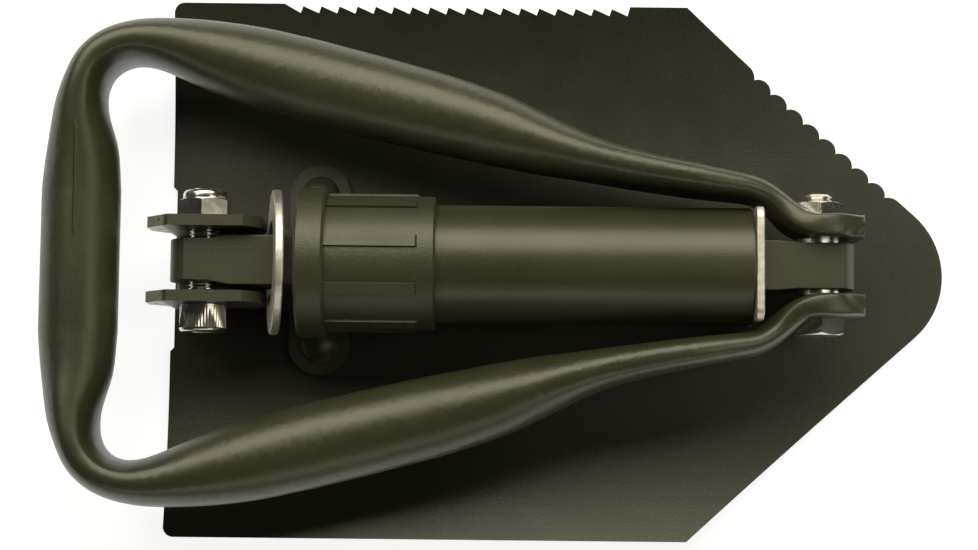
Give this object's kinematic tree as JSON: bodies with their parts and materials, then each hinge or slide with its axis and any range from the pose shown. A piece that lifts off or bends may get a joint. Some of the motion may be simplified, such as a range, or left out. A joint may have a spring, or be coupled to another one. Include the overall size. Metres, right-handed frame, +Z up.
{
  "type": "folding camp shovel",
  "caption": "Folding camp shovel with a dished saw-edged blade, a shaft locked by a screw collar and a folding D handle of bent tube.",
  "frame": {"origin": "under the middle of the folded tool, level with the blade's flat underside", "axes": "+X along the folded tool to the blade's point, +Y to the saw side, +Z up out of the dished side, towards the folded shaft"},
  "size_m": [0.2536, 0.152, 0.0467],
  "materials": {
    "blade_paint": "dark olive textured paint on sheet steel, matte",
    "bracket_paint": "olive paint on steel, matte",
    "tube_paint": "olive paint on steel tube, satin",
    "collar_paint": "olive paint on a cast collar, matte",
    "zinc": "bright zinc plate",
    "insert_steel": "turned steel",
    "nylon": "natural nylon"
  },
  "bodies": {
    "blade_assembly": {"blade": "blade_paint", "blade_bracket": "bracket_paint", "saw_side_rivet": "bracket_paint", "plain_side_rivet": "bracket_paint", "blade_hinge_bolt": "zinc", "blade_hinge_nut": "zinc", "blade_hinge_nut_insert": "nylon"},
    "core": {"core_bar": "bracket_paint"},
    "handle": {"handle_frame": "tube_paint", "handle_hinge_bolt": "zinc", "handle_hinge_nut": "zinc", "saw_side_spacer": "zinc", "plain_side_spacer": "zinc"},
    "tube": {"shaft_tube": "tube_paint", "front_guide": "nylon", "rear_guide": "nylon", "end_plate": "zinc"},
    "insert": {"collar_insert": "insert_steel"},
    "collar": {"locking_collar": "collar_paint"},
    "washer": {"lock_washer": "zinc"}
  },
  "joints": [
    {"name": "blade_fold", "type": "hinge", "parent": "blade_assembly", "child": "core", "pos_m": [-0.0815, 0, 0.026], "axis": [0, -1, 0], "range_deg": [0, 180]},
    {"name": "handle_fold", "type": "hinge", "parent": "core", "child": "handle", "pos_m": [0.0875, 0, 0.026], "axis": [0, 1, 0], "range_deg": [0, 180]},
    {"name": "collar_screw", "type": "slide", "parent": "core", "child": "insert", "axis": [-1, 0, 0], "range_m": [0, 0.0066]},
    {"name": "collar_spin", "type": "hinge", "parent": "insert", "child": "collar", "pos_m": [-0.0365, 0, 0.026], "axis": [-1, 0, 0], "range_deg": [-5, 1100]},
    {"name": "tube_slide", "type": "slide", "parent": "core", "child": "tube", "axis": [1, 0, 0], "range_m": [0, 0.0015]},
    {"name": "washer_rock", "type": "hinge", "parent": "core", "child": "washer", "pos_m": [-0.06283, 0, 0.01552], "axis": [0, -1, 0], "range_deg": [0, 9]}
  ],
  "couplings": [
    {"joint": "handle_fold", "follows": "blade_fold", "ratio": 1},
    {"joint": "collar_spin", "follows": "collar_screw", "rad_per_m": 2513.3},
    {"joint": "tube_slide", "follows": "collar_screw", "ratio": 0.2},
    {"joint": "washer_rock", "follows": "collar_screw", "rad_per_m": 23.5}
  ]
}
